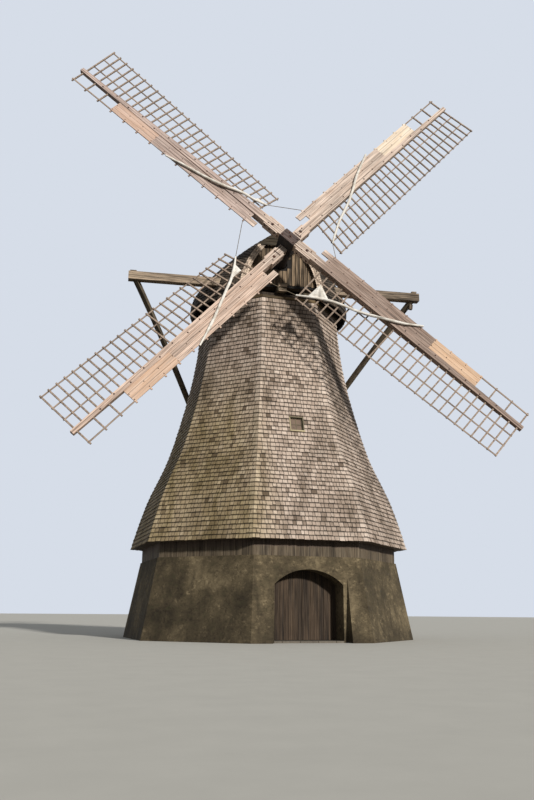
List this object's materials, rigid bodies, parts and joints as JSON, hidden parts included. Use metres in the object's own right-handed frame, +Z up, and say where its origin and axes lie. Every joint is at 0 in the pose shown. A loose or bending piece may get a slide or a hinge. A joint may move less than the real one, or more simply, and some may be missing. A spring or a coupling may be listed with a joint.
{
  "type": "traditional smock windmill",
  "caption": "Octagonal shingled smock windmill on a rendered masonry base, with a turning boat-shaped cap, tail pole and lattice sails with furled cloth.",
  "frame": {"origin": "on the mill's upright axis, at ground level, in the middle of the base", "axes": "+Z up, -Y out of the double door, +X to the right of someone facing the door"},
  "size_m": [16.9289, 15.3295, 22.5366],
  "materials": {
    "plaster": "weathered lime render over masonry",
    "floor_stone": "worn stone flags",
    "shingle": "grey-brown weathered wooden shingles",
    "cap_shingle": "dark weathered shingles",
    "old_timber": "dark weathered beams",
    "olive_boards": "olive weathered boards",
    "gable_boards": "stained upright boards",
    "verge_shingle": "pale edge shingles",
    "door_boards": "dark brown stained boards",
    "sail_timber": "pinkish brown oiled timber",
    "new_timber": "fresh pale boards",
    "lattice_timber": "brown bars",
    "window_timber": "olive weathered frame",
    "iron": "black forged iron",
    "cloth": "off-white canvas",
    "rope": "hemp",
    "glass": "dusty window glass"
  },
  "bodies": {
    "tower": {"ground_floor": "floor_stone", "base_walls_side": "plaster", "base_walls_diagonal": "plaster", "door_wall_left": "plaster", "door_wall_right": "plaster", "door_wall_over": "plaster", "sill_beams": "old_timber", "upper_floor": "old_timber", "smock_wall_front": "shingle", "smock_wall_back": "shingle", "smock_walls_side": "shingle", "smock_walls_diagonal": "shingle", "curb_ring": "olive_boards", "window_frames": "window_timber", "window_panes": "glass", "door_pintles": "iron"},
    "door_left": {"door_leaf_left": "door_boards", "door_straps_left": "iron"},
    "door_right": {"door_leaf_right": "door_boards", "door_straps_right": "iron"},
    "cap": {"cap_ring": "old_timber", "cap_sheers": "old_timber", "cap_cross_beams": "old_timber", "roof_left": "cap_shingle", "roof_right": "cap_shingle", "cap_skirt": "cap_shingle", "front_gable": "gable_boards", "rear_gable": "gable_boards", "front_verge": "verge_shingle", "long_spruit": "old_timber", "short_spruit": "old_timber", "long_braces": "old_timber", "short_braces": "old_timber", "tail_pole": "old_timber"},
    "sails": {"windshaft": "old_timber", "shaft_head": "old_timber", "nose_block": "old_timber", "front_stock": "sail_timber", "rear_stock": "sail_timber", "stock_clamps": "sail_timber", "lattice_upper_right": "lattice_timber", "lattice_upper_left": "lattice_timber", "lattice_lower_left": "lattice_timber", "lattice_lower_right": "lattice_timber", "windboards": "sail_timber", "windboards_new": "new_timber", "tip_frames": "lattice_timber", "sail_rolls": "cloth", "sail_ropes": "rope"}
  },
  "joints": [
    {"name": "cap_turn", "type": "hinge", "parent": "tower", "child": "cap", "pos_m": [0, 0, 12.76], "axis": [0, 0, 1], "continuous": true},
    {"name": "sails_turn", "type": "hinge", "parent": "cap", "child": "sails", "pos_m": [-0.48902, -3.88736, 14.26], "axis": [-0.1225, -0.9739, 0.1911], "continuous": true},
    {"name": "door_left_swing", "type": "hinge", "parent": "tower", "child": "door_left", "pos_m": [-1.265, -3.867, 1.2], "axis": [0, 0, 1], "range_deg": [0, 95]},
    {"name": "door_right_swing", "type": "hinge", "parent": "tower", "child": "door_right", "pos_m": [1.265, -3.867, 1.2], "axis": [0, 0, -1], "range_deg": [0, 95]}
  ]
}
